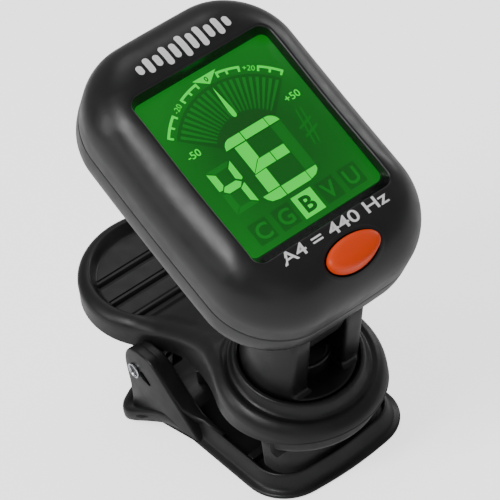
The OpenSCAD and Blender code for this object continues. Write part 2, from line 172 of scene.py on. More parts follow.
M_METAL = surface("nickel_plate", (0.75, 0.75, 0.76), rough=0.3, rvar=0.08, grain=900, bump=0.06, metal=1.0)
M_BRASS = surface("brass_plate", (0.78, 0.62, 0.32), rough=0.34, rvar=0.08, grain=900, bump=0.06, metal=1.0)
M_PCB = surface("board_green", (0.05, 0.32, 0.15), rough=0.4, rvar=0.05, grain=700, bump=0.1)
M_CHIP = surface("chip_black", (0.05, 0.05, 0.05), rough=0.6, rvar=0.08, grain=2000, bump=0.2)
M_MILK = surface("diffuser_milk", (0.85, 0.93, 0.85), rough=0.5, rvar=0.05, grain=900, bump=0.05)


def lcd_material(name, rgb_a, rgb_b, strength):
    """Lit display: colour runs from a brighter edge to a darker middle with a fine dot grain."""
    m, nt, b = new_mat(name)
    N, L = nt.nodes, nt.links
    tc = N.new("ShaderNodeTexCoord")
    c0 = to_row(HEAD, (0.5, 0.6, HD - 2.4))
    sub = N.new("ShaderNodeVectorMath")
    sub.operation = "SUBTRACT"
    sub.inputs[1].default_value = c0
    L.new(tc.outputs["Object"], sub.inputs[0])
    ln = N.new("ShaderNodeVectorMath")
    ln.operation = "LENGTH"
    L.new(sub.outputs[0], ln.inputs[0])
    mr = N.new("ShaderNodeMapRange")
    mr.inputs["From Min"].default_value = 0.006
    mr.inputs["From Max"].default_value = 0.0185
    L.new(ln.outputs["Value"], mr.inputs["Value"])
    up = N.new("ShaderNodeVectorMath")
    up.operation = "DOT_PRODUCT"
    d = HEAD[0] @ np.array([-0.6, 0.8, 0.0])
    up.inputs[1].default_value = d
    L.new(sub.outputs[0], up.inputs[0])
    mu = N.new("ShaderNodeMath")
    mu.operation = "MULTIPLY_ADD"
    mu.inputs[1].default_value = 14.0
    L.new(up.outputs["Value"], mu.inputs[0])
    L.new(mr.outputs["Result"], mu.inputs[2])
    noise = N.new("ShaderNodeTexNoise")
    noise.inputs["Scale"].default_value = 2200
    L.new(tc.outputs["Object"], noise.inputs["Vector"])
    ad = N.new("ShaderNodeMath")
    ad.operation = "MULTIPLY_ADD"
    ad.inputs[1].default_value = 0.18
    L.new(noise.outputs["Fac"], ad.inputs[0])
    L.new(mu.outputs[0], ad.inputs[2])
    ramp = N.new("ShaderNodeValToRGB")
    ramp.color_ramp.elements[0].position = 0.1
    ramp.color_ramp.elements[1].position = 1.0
    ramp.color_ramp.elements[0].color = lin(rgb_a) + [1]
    ramp.color_ramp.elements[1].color = lin(rgb_b) + [1]
    L.new(ad.outputs[0], ramp.inputs["Fac"])
    L.new(ramp.outputs["Color"], b.inputs["Emission Color"])
    b.inputs["Emission Strength"].default_value = strength
    b.inputs["Base Color"].default_value = (0.0, 0.01, 0.0, 1)
    b.inputs["Roughness"].default_value = 0.35
    return m


M_LCD = lcd_material("lcd_back", (0.0, 0.40, 0.05), (0.0, 0.55, 0.10), 0.72)
M_GHOST = lcd_material("lcd_ghost", (0.0, 0.50, 0.09), (0.0, 0.60, 0.13), 0.74)
M_DIM = lcd_material("lcd_dim", (0.0, 0.345, 0.03), (0.0, 0.44, 0.06), 0.72)
M_LIT = lcd_material("lcd_lit", (0.02, 0.95, 0.19), (0.04, 0.97, 0.23), 1.2)


def window_material():
    m, nt, b = new_mat("clear_window")
    N, L = nt.nodes, nt.links
    out = [n for n in N if n.type == "OUTPUT_MATERIAL"][0]
    tr = N.new("ShaderNodeBsdfTransparent")
    gl = N.new("ShaderNodeBsdfGlossy")
    gl.inputs["Roughness"].default_value = 0.06
    fr = N.new("ShaderNodeFresnel")
    tc = N.new("ShaderNodeTexCoord")
    no = N.new("ShaderNodeTexNoise")
    no.inputs["Scale"].default_value = 300
    L.new(tc.outputs["Object"], no.inputs["Vector"])
    bp = N.new("ShaderNodeBump")
    bp.inputs["Strength"].default_value = 0.02
    bp.inputs["Distance"].default_value = 0.00002
    L.new(no.outputs["Fac"], bp.inputs["Height"])
    L.new(bp.outputs[0], gl.inputs["Normal"])
    fr.inputs["IOR"].default_value = 1.16
    mix = N.new("ShaderNodeMixShader")
    L.new(fr.outputs[0], mix.inputs[0])
    L.new(tr.outputs[0], mix.inputs[1])
    L.new(gl.outputs[0], mix.inputs[2])
    L.new(mix.outputs[0], out.inputs[0])
    return m


M_WIN = window_material()


# ------------------------------------------------------------ mesh helpers
def make(name, verts, faces, f, body, mat, slot=None, rep=(), sharp=38.0, recalc=True, smooth=True):
    me = bpy.data.meshes.new(name)
    me.from_pydata(to_row(f, verts).tolist(), [], [list(q) for q in faces])
    bm = bmesh.new()
    bm.from_mesh(me)
    bmesh.ops.remove_doubles(bm, verts=bm.verts, dist=2e-6)
    bmesh.ops.dissolve_degenerate(bm, edges=bm.edges, dist=1e-7)
    if recalc:
        bmesh.ops.recalc_face_normals(bm, faces=bm.faces)
    bm.to_mesh(me)
    bm.free()
    for p in me.polygons:
        p.use_smooth = smooth
    if smooth:
        me.set_sharp_from_angle(angle=math.radians(sharp))
    me.materials.append(mat)
    ob = bpy.data.objects.new(name, me)
    scene.collection.objects.link(ob)
    if body:
        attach(ob, body)
    if rep:
        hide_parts(*rep)
    return ob


def loft(rings, cap0=True, cap1=True):
    n = len(rings[0])
    V = np.vstack([np.asarray(r, float) for r in rings])
    F = []
    for k in range(len(rings) - 1):
        for i in range(n):
            a, b = k * n + i, k * n + (i + 1) % n
            F.append((a, b, b + n, a + n))
    if cap0:
        F.append(tuple(range(n - 1, -1, -1)))
    if cap1:
        F.append(tuple((len(rings) - 1) * n + i for i in range(n)))
    return V, F


def join(*parts):
    V, F, o = [], [], 0
    for v, f in parts:
        v = np.asarray(v, float)
        V.append(v)
        F += [tuple(i + o for i in q) for q in f]
        o += len(v)
    return np.vstack(V), F


def lathe(profile, axis="z", n=64, centre=(0, 0, 0)):
    """profile: (radius, height) pairs turned about an axis, closed at both ends."""
    rings = []
    for r, h in profile:
        a = np.arange(n) * 2 * PI / n
        c, s = r * np.cos(a), r * np.sin(a)
        if axis == "z":
            p = np.stack([c, s, np.full(n, h)], 1)
        else:
            p = np.stack([np.full(n, h), c, s], 1)
        rings.append(p + np.array(centre, float))
    return loft(rings)


def inset_poly(poly, d):
    """Moves a dense closed outline in by d along its normals."""
    p = np.asarray(poly, float)
    t = np.roll(p, -1, 0) - np.roll(p, 1, 0)
    t /= np.linalg.norm(t, axis=1)[:, None] + 1e-12
    nrm = np.stack([-t[:, 1], t[:, 0]], 1)
    area = 0.5 * np.sum(p[:, 0] * np.roll(p[:, 1], -1) - np.roll(p[:, 0], -1) * p[:, 1])
    if area < 0:
        nrm = -nrm
    return p + nrm * d


def soften(poly, n, passes=0):
    """Resamples a closed polygon to n points of equal spacing."""
    p = np.asarray(poly, float)
    q = np.vstack([p, p[:1]])
    s = np.concatenate([[0], np.cumsum(np.linalg.norm(np.diff(q, axis=0), axis=1))])
    u = np.linspace(0, s[-1], n, endpoint=False)
    r = np.stack([np.interp(u, s, q[:, 0]), np.interp(u, s, q[:, 1])], 1)
    for _ in range(passes):
        r = 0.25 * np.roll(r, 1, 0) + 0.5 * r + 0.25 * np.roll(r, -1, 0)
    return r


def rounded_prism(poly, x0, x1, edge=0.3, n=120, passes=3, steps=3):
    """A plate with a (y, z) outline between two x levels and rounded edges."""
    base = soften(poly, n, passes)
    rings = []
    for k in range(steps + 1):
        a = k * PI / 2 / steps
        rings.append((inset_poly(base, edge * (1 - math.sin(a))), x0 + edge * (1 - math.cos(a))))
    for k in range(steps, -1, -1):
        a = k * PI / 2 / steps
        rings.append((inset_poly(base, edge * (1 - math.sin(a))), x1 - edge * (1 - math.cos(a))))
    return loft([np.stack([np.full(len(r), x), r[:, 0], r[:, 1]], 1) for r, x in rings])


def flat(polys, z):
    """Flat shapes in the display plane, each a list of (x, y)."""
    V, F = [], []
    for p in polys:
        o = len(V)
        V += [(x, y, z) for x, y in p]
        F.append(tuple(range(o, o + len(p))))
    return np.array(V, float), F


def ribbon(pts, w):
    """Quads along a polyline of width w."""
    p = np.asarray(pts, float)
    t = np.gradient(p, axis=0)
    t /= np.linalg.norm(t, axis=1)[:, None]
    n = np.stack([-t[:, 1], t[:, 0]], 1) * w / 2
    a, b = p + n, p - n
    return [[tuple(a[i]), tuple(b[i]), tuple(b[i + 1]), tuple(a[i + 1])] for i in range(len(p) - 1)]


def text_mesh(body_text, size, bold=0.02):
    cu = bpy.data.curves.new("glyphs", "FONT")
    cu.body = body_text
    cu.size = size
    cu.offset = bold * size
    cu.align_x = "CENTER"
    cu.align_y = "CENTER"
    cu.resolution_u = 4
    ob = bpy.data.objects.new("glyphs", cu)
    scene.collection.objects.link(ob)
    dg = bpy.context.evaluated_depsgraph_get()
    me = bpy.data.meshes.new_from_object(ob.evaluated_get(dg))
    V = np.array([v.co[:2] for v in me.vertices], float)
    F = [tuple(p.vertices) for p in me.polygons]
    bpy.data.objects.remove(ob)
    bpy.data.curves.remove(cu)
    bpy.data.meshes.remove(me)
    lo, hi = V.min(0), V.max(0)
    return V - (lo + hi) / 2, F


# ------------------------------------------------------------ head casing
NA = 320
TH = np.arange(NA) * 2 * PI / NA


def rounded_rect(w, h, r, n=90):
    p = []
    for cx, cy, a0 in ((w / 2 - r, h / 2 - r, 0), (-w / 2 + r, h / 2 - r, 90), (-w / 2 + r, -h / 2 + r, 180), (w / 2 - r, -h / 2 + r, 270)):
        for i in range(n + 1):
            a = math.radians(a0 + 90 * i / n)
            p.append((cx + r * math.cos(a), cy + r * math.sin(a)))
    return np.array(p)


def by_rays(poly, n=NA, centre=(0, 0)):
    p = np.asarray(poly, float) - np.array(centre)
    q = np.vstack([p, p[:1]])
    d = []
    for i in range(len(p)):
        m = max(3, int(np.linalg.norm(q[i + 1] - q[i]) / 0.06))
        for s in np.linspace(0, 1, m, endpoint=False):
            d.append(q[i] * (1 - s) + q[i + 1] * s)
    d = np.array(d)
    a = np.arctan2(d[:, 1], d[:, 0]) % (2 * PI)
    o = np.argsort(a)
    th = np.arange(n) * 2 * PI / n
    r = np.interp(th, a[o], np.hypot(d[:, 0], d[:, 1])[o], period=2 * PI)
    return np.stack([r * np.cos(th), r * np.sin(th)], 1) + np.array(centre)


def head_outline():
    w, h, bow = 36.2, 50.8, 0.45
    p = by_rays(rounded_rect(w - 2 * bow, h - 2 * bow, 11.0))
    x = p[:, 0] * (1 + bow / (w / 2 - bow) * (1 - (p[:, 1] / (h / 2)) ** 2))
    y = p[:, 1] * (1 + bow / (h / 2 - bow) * (1 - (p[:, 0] / (w / 2)) ** 2))
    return np.stack([x, y], 1)


OUT = head_outline()
RIM = by_rays(rounded_rect(25.7, 31.3, 2.0))
RC = 7.7


def ring3(p, z):
    z = np.full(len(p), z) if np.isscalar(z) else z
    return np.stack([p[:, 0], p[:, 1], z], 1)


def casing():
    rings = [ring3(inset_poly(OUT, 2.2), 5.02), ring3(inset_poly(OUT, 0.16), 5.02), ring3(inset_poly(OUT, 0.12), 5.12),
             ring3(inset_poly(OUT, 0.02), 5.2), ring3(OUT, 5.5), ring3(OUT, 6.6)]
    vec = RIM - OUT
    L = np.linalg.norm(vec, axis=1)
    u = vec / L[:, None]
    phm = np.arccos(np.clip(1 - np.minimum(L, RC) / RC, -1, 1))
    arc = RC * phm + np.maximum(L - RC, 0)
    for k in range(0, 41):
        s = arc * k / 40
        ph = np.minimum(s / RC, phm)
        d = RC * (1 - np.cos(ph)) + np.maximum(s - RC * phm, 0)
        z = HD - RC + RC * np.sin(ph)
        # a broad soft shoulder: a circular roll of radius RC, kept inside the rim
        d = np.minimum(d, L)
        rings.append(np.stack([OUT[:, 0] + u[:, 0] * d, OUT[:, 1] + u[:, 1] * d, z], 1))
    zr = rings[-1][:, 2].copy()
    # small rolled lip, then the tapered wall of the recess
    for o, dz in ((0.12, -0.03), (0.24, -0.12), (0.30, -0.26)):
        rings.append(ring3(inset_poly(RIM, o), zr + dz))
    low = by_rays(rounded_rect(24.5, 28.4, 1.2)) + np.array([0.45, 0.62])
    top = inset_poly(RIM, 0.3)
    ztop = zr - 0.26
    for s in (0.25, 0.5, 0.75, 0.96):
        rings.append(ring3(top * (1 - s) + low * s, ztop * (1 - s) + (HD - 2.42) * s))
    rings.append(ring3(low, HD - 2.5))
    rings.append(ring3(inset_poly(low, -0.0) * 0.999, HD - 2.9))
    return rings


rings = casing()
# the crowned outside, down to the lip
nlip = 6 + 41 + 3
V, F = loft(rings[:nlip], cap0=True, cap1=False)
case = make("casing_shell", V, F, HEAD, "head", M_CASE, "casing", ("front_casing",), sharp=50)
V, F = loft(rings[nlip - 1:], cap0=False, cap1=False)
recess = make("display_recess", V, F, HEAD, "head", M_RECESS, "casing", sharp=50, recalc=False)
bm = bmesh.new()
bm.from_mesh(recess.data)
bmesh.ops.recalc_face_normals(bm, faces=bm.faces)
bm.faces.ensure_lookup_table()
fc = bm.faces[0]
mid = Vector(to_row(HEAD, (0.4, 0.6, HD - 1)))
if fc.normal.dot(mid - fc.calc_center_median()) < 0:
    bmesh.ops.reverse_faces(bm, faces=bm.faces)
bm.to_mesh(recess.data)
bm.free()

VV, FF = loft(rings[:nlip], cap0=True, cap1=False)
BVH = BVHTree.FromPolygons([Vector(v) for v in VV], [list(q) for q in FF])


def on_case(x, y, lift):
    hit = BVH.ray_cast(Vector((x, y, 60.0)), Vector((0, 0, -1)))
    z = hit[0].z if hit[0] is not None else HD
    return z + lift


# ------------------------------------------------------------ display
ZL = HD - 2.44
scr = ring3(by_rays(rounded_rect(25.6, 29.6, 1.4)) + np.array([0.45, 0.62]), ZL)
make("lcd_screen", *loft([ring3(scr[:, :2], ZL - 1.7), scr]), HEAD, "head", M_LCD, "lcd_glass", ("lcd_panel",), sharp=30)

CX, CY = 0.45, -0.45


def pol(r, a):
    a = math.radians(a)
    return (CX + r * math.cos(a), CY + r * math.sin(a))


def pxy(pts):
    return [(x / 30 - 13, 16 - y / 30) for x, y in pts]


lit = []
for a0, a1 in ((141.5, 124.6), (113.2, 97.2), (82.6, 66.4), (55.2, 38.6)):
    lit += ribbon([pol(13.62, a0 + (a1 - a0) * i / 14) for i in range(15)], 0.40)
for a in (141.0, 133.4, 125.4, 112.6, 105.2, 98.0, 82.0, 75.4, 67.2, 54.6, 47.0, 39.4):
    lit += ribbon([pol(13.5, a), pol(12.85, a)], 0.34)
lit.append([(-1.6, 13.67), (0.5, 12.07), (2.67, 13.67)])
lit.append([(0.43, 11.45), (0.30, 10.2), (0.14, 8.4), (0.02, 7.0), (0.08, 6.1), (0.26, 5.83), (0.60, 5.83), (0.78, 6.1), (0.84, 7.0), (0.72, 8.4), (0.56, 10.2)])
# big note letter
lit.append(pxy([(262, 418), (270, 396), (284, 381), (302, 374), (366, 374), (366, 418)]))
lit.append(pxy([(371, 418), (371, 374), (498, 374), (498, 418)]))
lit.append(pxy([(502, 418), (502, 374), (524, 376), (544, 388), (554, 402), (559, 418)]))
lit.append(pxy([(302, 424), (366, 424), (366, 515), (352, 520), (302, 566)]))
lit.append(pxy([(300, 572), (358, 520), (420, 520), (420, 569), (361, 569)]))
lit.append(pxy([(425, 520), (498, 520), (498, 569), (425, 569)]))
lit.append(pxy([(297, 576), (360, 573), (359, 671), (296, 671)]))
lit.append(pxy([(262, 676), (357, 676), (357, 722), (322, 722), (286, 714), (270, 696)]))
lit.append(pxy([(362, 676), (495, 676), (495, 722), (362, 722)]))
lit.append(pxy([(499, 676), (555, 676), (551, 694), (530, 712), (499, 720)]))
# small figure
lit.append(pxy([(117, 462), (150, 486), (150, 540), (133, 558), (117, 556)]))
lit.append(pxy([(246, 460), (246, 552), (236, 560), (215, 541), (218, 488)]))
lit.append(pxy([(133, 567), (150, 549), (210, 549), (229, 567), (210, 585), (150, 585)]))
lit.append(pxy([(237, 575), (237, 679), (208, 656), (208, 592)]))
ghost = [pxy([(502, 424), (558, 424), (558, 671), (502, 671)]),
         pxy([(122, 455), (240, 455), (218, 480), (150, 480)]),
         pxy([(117, 577), (132, 577), (150, 592), (150, 655), (117, 680)]),
         pxy([(150, 660), (206, 660), (230, 684), (122, 684)])]
for i in range(21):
    a = 139 - 98 * i / 20
    if abs(a - 90) > 3:
        p, q = pol(6.6, a), pol(11.9, a)
        n = (-math.sin(math.radians(a)), math.cos(math.radians(a)))
        ghost.append([(p[0] + n[0] * .14, p[1] + n[1] * .14), (p[0] - n[0] * .14, p[1] - n[1] * .14),
                      (q[0] - n[0] * .26, q[1] - n[1] * .26), (q[0] + n[0] * .26, q[1] + n[1] * .26)])
boxes = []
for x0 in (113, 240, 485, 610):
    boxes.append(pxy([(x0, 748), (x0 + 97, 748), (x0 + 97, 857), (x0, 857)]))
for k in (-1, 1):
    ghost += ribbon([(8.55 + k * 0.42 - 0.5, -3.9), (8.55 + k * 0.42 + 0.55, 2.1)], 0.30)
    ghost += ribbon([(7.2, -1.2 + k * 0.75 - 0.3), (9.9, -1.2 + k * 0.75 + 0.5)], 0.42)
lit.append(pxy([(357, 746), (466, 746), (466, 861), (357, 861)]))
# a slightly darker fan under the scale
dim = boxes + [[pol(4.6, 150), *[pol(12.4, 142 - 104 * i / 24) for i in range(25)], pol(4.6, 30)]]
make("lcd_fan", *flat(dim, ZL + 0.03), HEAD, "head", M_DIM, "lcd_glass", smooth=False, recalc=False)
make("lcd_ghosts", *flat(ghost, ZL + 0.05), HEAD, "head", M_GHOST, "lcd_glass", smooth=False, recalc=False)
make("lcd_lit", *flat(lit, ZL + 0.07), HEAD, "head", M_LIT, "lcd_glass", smooth=False, recalc=False)


def glyph(name, txt, size, x, y, rot, mat, z, body="head", bold=0.02, sx=1.0):
    v, f = text_mesh(txt, size, bold)
    v = v * np.array([sx, 1.0])
    c, s = math.cos(math.radians(rot)), math.sin(math.radians(rot))
    v = v @ np.array([[c, s], [-s, c]])
    P = np.stack([v[:, 0] + x, v[:, 1] + y, np.full(len(v), z)], 1)
    return make(name, P, f, HEAD, body, mat, "lcd_glass", smooth=False, recalc=False)


glyph("lcd_m50", "-50", 1.65, -8.6, 4.15, 0, M_LIT, ZL + 0.07, bold=0.01, sx=1.05)
glyph("lcd_p50", "+50", 1.65, 9.65, 4.15, 0, M_LIT, ZL + 0.07, bold=0.01, sx=1.05)
glyph("lcd_m20", "-20", 1.25, -6.1, 11.3, 29, M_LIT, ZL + 0.07, bold=0.0)
glyph("lcd_p20", "+20", 1.25, 7.0, 11.2, -33, M_LIT, ZL + 0.07, bold=0.0)
glyph("lcd_zero", "0", 1.15, 0.47, 13.0, 0, M_DIM, ZL + 0.09, bold=0.03)
glyph("lcd_b", "B", 3.6, 0.74, -10.78, 0, M_DIM, ZL + 0.09, bold=0.03, sx=1.05)
for nm, ch, x in (("c", "C", -7.55), ("g", "G", -3.4), ("v", "V", 4.75), ("u", "U", 8.9)):
    glyph("lcd_" + nm, ch, 3.5, x, -10.78, 0, M_GHOST, ZL + 0.07, bold=0.02, sx=1.0)

win = ring3(by_rays(rounded_rect(24.6, 28.5, 1.2)) + np.array([0.45, 0.62]), HD - 2.26)
win2 = ring3(by_rays(rounded_rect(24.6, 28.5, 1.2)) + np.array([0.45, 0.62]), HD - 2.20)
make("window_pane", *loft([win, win2]), HEAD, "head", M_WIN, "clear_window", ("lens_window",), sharp=30)


# ------------------------------------------------------------ print on the casing
def printed(name, V2, F, lift=0.035):
    P = np.array([(x, y, on_case(x, y, lift)) for x, y in V2], float)
    return make(name, P, F, HEAD, "head", M_INK, "casing", smooth=False, recalc=False)


v, f = text_mesh("A4 = 440 Hz", 2.75, 0.012)
v[:, 0] *= 19.4 / (v[:, 0].max() - v[:, 0].min())
v[:, 1] *= 1.95 / (v[:, 1].max() - v[:, 1].min())
printed("print_word", v + np.array([0.25, -16.55]), f)
pts, fcs = [], []
for k, hh in enumerate((0.8, 1.35, 1.0, 1.7, 1.3, 2.0, 1.45, 1.85, 1.15, 1.55, 0.9)):
    xb, yb = -8.0 + 1.58 * k, 18.35
    hw = 0.52
    nrow_ = 30
    o = len(pts)
    for m in range(nrow_ + 1):
        yy = hh * math.cos(PI * m / nrow_)
        w_ = hw if abs(yy) < hh - hw else math.sqrt(max(hw * hw - (abs(yy) - hh + hw) ** 2, 0.0004))
        pts += [(xb - w_, yb + yy), (xb, yb + yy), (xb + w_, yb + yy)]
        if m:
            a = o + 3 * (m - 1)
            fcs += [(a, a + 1, a + 4, a + 3), (a + 1, a + 2, a + 5, a + 4)]
printed("print_wave", np.array(pts), fcs)


# ------------------------------------------------------------ button
def oval_ring(a, b, cy, n=96):
    t = np.arange(n) * 2 * PI / n
    return np.stack([a * np.cos(t) + 0.4, b * np.sin(t) + cy], 1)


BY = -20.75
rings = []
for a, b, z in ((4.65, 2.28, 11.2), (4.65, 2.28, 15.5), (4.62, 2.25, 15.75), (4.5, 2.16, 15.95), (4.25, 2.0, 16.13), (3.8, 1.7, 16.28), (3.0, 1.3, 16.38), (1.8, 0.78, 16.45), (0.8, 0.34, 16.47)):
    rings.append(ring3(oval_ring(a, b, BY), z))
make("button_cap", *loft(rings), HEAD, "button", M_BTN, "button_plastic", ("power_button",), sharp=50)
# dark ring round the button cap, laid flat on the casing: painted shade standing in for the shadowed gap round the
# button
ra, rb = oval_ring(4.62, 2.25, BY), oval_ring(4.92, 2.55, BY)
P = np.vstack([np.array([(x, y, on_case(x, y, 0.03)) for x, y in ra]), np.array([(x, y, on_case(x, y, 0.03)) for x, y in rb])])
make("button_gap", P, [(i, (i + 1) % 96, 96 + (i + 1) % 96, 96 + i) for i in range(96)], HEAD, "head", M_PAINTED_SHADE, "casing", smooth=False, recalc=False)
# soft raised edge round the button opening
rc_, rd_ = oval_ring(4.92, 2.55, BY), oval_ring(5.6, 3.2, BY)
rm_ = oval_ring(5.15, 2.78, BY)
P = np.vstack([np.array([(x, y, on_case(x, y, 0.02)) for x, y in rc_]), np.array([(x, y, on_case(x, y, 0.11)) for x, y in rm_]), np.array([(x, y, on_case(x, y, 0.0)) for x, y in rd_])])
make("button_bezel", P, [(96 * k + i, 96 * k + (i + 1) % 96, 96 * (k + 1) + (i + 1) % 96, 96 * (k + 1) + i) for k in (0, 1) for i in range(96)], HEAD, "head", M_CASE, "casing", sharp=80, recalc=False)

# ------------------------------------------------------------ rear shell
rr_ = []
for ins, z in ((3.2, 0.0), (1.9, 0.0), (1.4, 0.06), (0.95, 0.22), (0.6, 0.5), (0.33, 0.9), (0.15, 1.5), (0.05, 2.3), (0.0, 3.3), (0.0, 4.7), (0.02, 4.88), (0.09, 4.95), (0.12, 5.02), (2.4, 5.02)):
    rr_.append(ring3(inset_poly(OUT, ins), z))
shell = loft(rr_, cap0=False)


inner = inset_poly(OUT, 3.2)
V2, F2 = loft([ring3(inner, 0.0), ring3(inner * 0.5, 0.0), ring3(inner * 0.02, 0.0)], cap0=False, cap1=True)
knuck_parts = []
kp = []
for i in range(33):
    a = math.radians(180 + 180 * i / 32)
    kp.append((5.55 * math.cos(a) - 18.05, 5.55 * math.sin(a) - 8.74))
kp += [(-18.05 + 5.55, -0.9), (-18.05 + 6.3, -0.35), (-18.05 + 7.2, 0.1), (-18.05 - 6.9, 0.1), (-18.05 - 6.3, -0.35), (-18.05 - 5.55, -0.9)]
kn = rounded_prism(kp, -3.3, 3.3, edge=0.35, n=140, passes=2)
kr = rounded_prism([(-18.05 - 5.5, 0.15), (-18.05 - 5.5, -1.3), (-18.05 - 4.6, -2.0), (-18.05 + 4.6, -2.0), (-18.05 + 5.5, -1.3), (-18.05 + 5.5, 0.15)], -4.9, 4.9, edge=0.5, n=80, passes=2)
make("rear_shell", *join(shell, (V2, F2), kn, kr), HEAD, "head", M_CASE, "rear_shell", ("rear_cover",), sharp=42)

# rest of the head pieces keep their solids
for n_, m_ in (("battery_door", M_DOOR), ("case_screws", M_SCREW), ("backlight_diffuser", M_MILK), ("backlight_leds", M_MILK), ("zebra_strip", M_BRASS),
               ("circuit_board", M_PCB), ("controller_chip", M_CHIP), ("tact_switch", M_METAL), ("piezo_disc", M_BRASS), ("coin_cell", M_METAL),
               ("contact_plus", M_BRASS), ("contact_minus", M_BRASS), ("swivel_screw", M_SCREW), ("spring_washer", M_METAL), ("lower_pad", M_RUB), ("upper_pad", M_RUB)):
    o = nodes[n_]
    o.data.materials.clear()
    o.data.materials.append(m_)

# ------------------------------------------------------------ upper lever
FR, TR, NR, FY, TY = 13.5, 14.0, 26.0, 24.6, 10.5
ND = FY + TY
NAa = (ND * ND + (FR + NR) ** 2 - (TR + NR) ** 2) / (2 * ND)
NX = math.sqrt((FR + NR) ** 2 - NAa * NAa)
NY = -FY + NAa
Y1 = -FY + FR * NAa / (FR + NR)
Y2 = TY - TR * (ND - NAa) / (TR + NR)
T13 = math.tan(math.radians(13))
C13 = math.cos(math.radians(13))


def smooth_curve(xs, zs, width, lo=-45.0, hi=35.0, step=0.05):
    g = np.arange(lo, hi, step)
    v = np.interp(g, xs, zs)
    k = int(width / step)
    if k > 1:
        ker = np.hanning(2 * k + 1)
        ker /= ker.sum()
        v = np.convolve(np.pad(v, k, mode="edge"), ker, mode="valid")
    return lambda y: np.interp(y, g, v)


def half_w(y):
    y = np.asarray(y, float)
    a = np.sqrt(np.maximum(FR ** 2 - (y + FY) ** 2, 0))
    b = np.sqrt(np.maximum(TR ** 2 - (y - TY) ** 2, 0))
    c = NX - np.sqrt(np.maximum(NR ** 2 - (y - NY) ** 2, 0))
    return np.where(y <= Y1, a, np.where(y >= Y2, b, c))


def edge_dist(x, y):
    a = FR - np.hypot(x, y + FY)
    b = TR - np.hypot(x, y - TY)
    c = np.hypot(np.abs(x) - NX, y - NY) - NR
    return np.maximum(np.where(y <= Y1, a, np.where(y >= Y2, b, c)), 0)


def sstep(a, b, x):
    t = np.clip((x - a) / (b - a), 0, 1)
    return t * t * (3 - 2 * t)


def disc_plane(y):
    return 17.95 + (y + 24.94) * T13


crown_z = smooth_curve([-45, -18, -15, -12, -8, -4, 0, 3, 10, 26],
                       [17.95 - 20.06 * T13 - 1.5, 17.95 + 6.94 * T13 - 1.55, 18.3, 17.75, 16.3, 14.75, 13.5, 13.1, 13.4, 14.3], 1.6)
MOAT_R = [0, 9.22, 9.3, 9.42, 9.55, 9.95, 10.1, 10.25, 10.4, 10.7, 11.05, 11.4, 11.8, 12.3]
MOAT_Z = [-1.9, -1.9, -0.3, -0.06, 0.0, 0.0, -0.08, -0.4, -0.95, -1.6, -1.88, -1.8, -1.6, -1.5]



def upper_top(x, y):
    d = edge_dist(x, y)
    r = np.hypot(x, (y + 24.94) / C13)
    base = crown_z(y)
    near = 1 - sstep(10.4, 11.6, r)
    base = base * (1 - near) + (disc_plane(y) - 1.5) * near
    z = base + np.interp(r, MOAT_R, MOAT_Z) + 1.5
    # the neck sinks a little between two soft ridges
    neck = sstep(-14.5, -11, y) * (1 - sstep(0, 3.6, y))
    z = z - neck * 0.55 * sstep(2.2, 5.2, d)
    # thumb dish with a flat panel
    rt = np.hypot(x, y - TY)
    panel = 11.75 + 0.05 * (y - TY)
    dish = 1 - sstep(10.7, 12.0, rt)
    z = np.where(rt < 12.2, z * (1 - dish) + panel * dish, z)
    # towards the neck the dish ends in a smooth slope
    back = 1 - sstep(1.8, 4.3, y)
    slope = 13.2 + 0 * y
    z = np.where((rt < 12.2) & (y < 4.5), np.maximum(z, (base - 0.55) * back + panel * (1 - back)), z)
    # grip steps: a lip with a groove before it
    for k, (y0, xe) in enumerate(((5.2, 10.0), (9.9, 11.1), (15.0, 10.9))):
        inx = (np.abs(x) < xe) & (rt < 11.5)
        lip = sstep(y0 - 0.10, y0 + 0.08, y) * (1 - sstep(y0 + 0.62, y0 + 0.78, y))
        groove = sstep(y0 - 0.85, y0 - 0.65, y) * (1 - sstep(y0 - 0.16, y0 - 0.02, y))
        line = sstep(y0 + 0.8, y0 + 0.9, y) * (1 - sstep(y0 + 1.0, y0 + 1.1, y))
        z = np.where(inx, z + lip * 0.26 - groove * 0.34 - line * 0.2, z)
    tn = sstep(-13.0, -3.0, y)
    re = 2.6 - 0.3 * tn
    e = np.minimum(d, re)
    low = np.where(y < -16, np.clip(base - 11.1 - 0.45, 0.35, 2.6), re)
    k = (re - e) / re
    z = z - (1 - np.sqrt(np.maximum(1 - k * k, 0))) * np.minimum(low, re * (0.95 - 0.15 * tn))
    return z


def rows_of():
    ph = np.linspace(0, 1, 44)
    front = -FY - FR * np.cos(ph * math.radians(62))
    y_a = front[-1]
    rear = TY + TR * np.cos((1 - ph) * math.radians(50))
    mid = np.arange(y_a, rear[0], 0.15)[1:]
    return np.concatenate([front, mid, rear])


ys = rows_of()
v_ = np.linspace(-1, 1, 171)
us = 0.62 * v_ + 0.38 * np.sin(v_ * PI / 2)
W = half_w(ys)
X = W[:, None] * us[None, :]
Y = np.repeat(ys[:, None], len(us), 1)
Z = upper_top(X, Y)
nr, nc = X.shape
P = np.stack([X, Y, Z], -1).reshape(-1, 3)
F = [(i * nc + j, i * nc + j + 1, (i + 1) * nc + j + 1, (i + 1) * nc + j) for i in range(nr - 1) for j in range(nc - 1)]
top_part = (P, F)
# border loop: left side front to rear, right side rear to front
lz, rz = Z[:, 0], Z[:, -1]
loop2 = np.concatenate([np.stack([-W, ys], 1), np.stack([W, ys], 1)[::-1][1:-1]])
loopz = np.concatenate([lz, rz[::-1][1:-1]])
zsk = smooth_curve([-45, -8, -4, 0, 3, 26], [11.1, 11.1, 10.2, 8.8, 8.15, 9.45], 1.2)
ceil_ = smooth_curve([-45, -15.7, -15.2, -8, -4, 0, 1.5, 3, 26], [11.1, 11.1, 14.4, 13.9, 12.4, 10.9, 10.0, 9.5, 10.6], 0.3)


